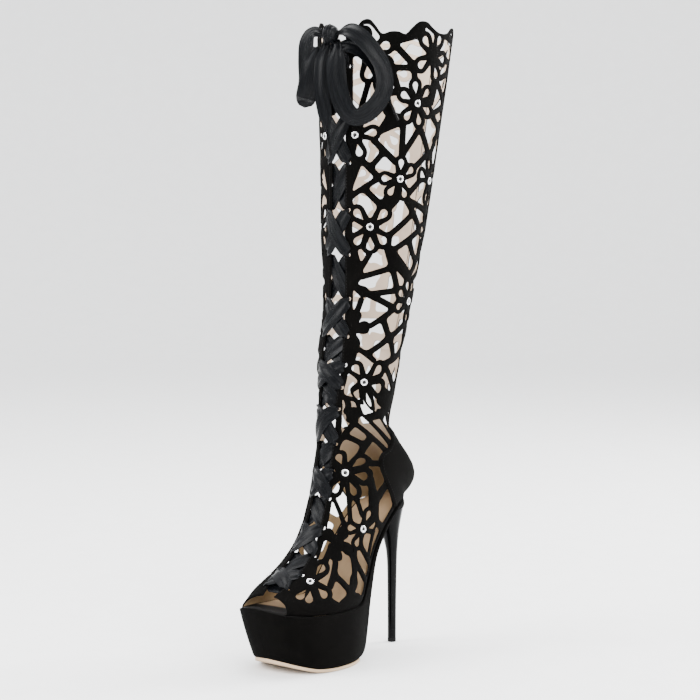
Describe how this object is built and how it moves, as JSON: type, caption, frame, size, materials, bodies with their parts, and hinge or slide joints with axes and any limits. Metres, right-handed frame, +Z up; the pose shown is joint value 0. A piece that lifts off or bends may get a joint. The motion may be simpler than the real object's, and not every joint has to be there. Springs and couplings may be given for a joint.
{
  "type": "peep-toe knee-high platform boot",
  "caption": "Left knee-high boot with an open-work leather shaft, laced front and bow, peep toe, high platform, stiletto heel and a back zip.",
  "frame": {"origin": "middle of the forefoot's flat spot on the floor", "axes": "-Y toward the toe, +X toward the outer side of this left boot, +Z up"},
  "size_m": [0.1244, 0.255, 0.5989],
  "materials": {
    "black_suede": "matte suede",
    "tan_leather": "smooth",
    "black_lacquer": "gloss",
    "charcoal_satin": "satin ribbon",
    "black_rubber": "matte",
    "polished_metal": "polished"
  },
  "bodies": {
    "boot": {"bow_knot": "charcoal_satin", "end_inner": "charcoal_satin", "end_outer": "charcoal_satin", "heel": "black_lacquer", "heel_counter": "black_suede", "heel_tip": "black_rubber", "insole": "tan_leather", "lace": "charcoal_satin", "loop_inner": "charcoal_satin", "loop_outer": "charcoal_satin", "outsole": "tan_leather", "platform": "black_suede", "stud_ankle_inner": "polished_metal", "stud_ankle_outer": "polished_metal", "stud_calf_back_inner": "polished_metal", "stud_calf_back_outer": "polished_metal", "stud_calf_inner": "polished_metal", "stud_calf_outer": "polished_metal", "stud_edge_high_inner": "polished_metal", "stud_edge_high_outer": "polished_metal", "stud_high_inner": "polished_metal", "stud_high_outer": "polished_metal", "stud_instep_inner": "polished_metal", "stud_instep_outer": "polished_metal", "stud_mid_inner": "polished_metal", "stud_mid_outer": "polished_metal", "stud_mid_rear_inner": "polished_metal", "stud_mid_rear_outer": "polished_metal", "stud_toe_inner": "polished_metal", "stud_toe_outer": "polished_metal", "stud_waist_inner": "polished_metal", "stud_waist_outer": "polished_metal", "upper": "black_suede", "zip_chain": "polished_metal", "zip_slider": "polished_metal"},
    "zip_pull": {"zip_pull": "polished_metal"}
  },
  "joints": [
    {"name": "pull_swing", "type": "hinge", "parent": "boot", "child": "zip_pull", "pos_m": [0, 0.17318, 0.5799], "axis": [1, 0, 0], "range_deg": [-12, 150]}
  ]
}
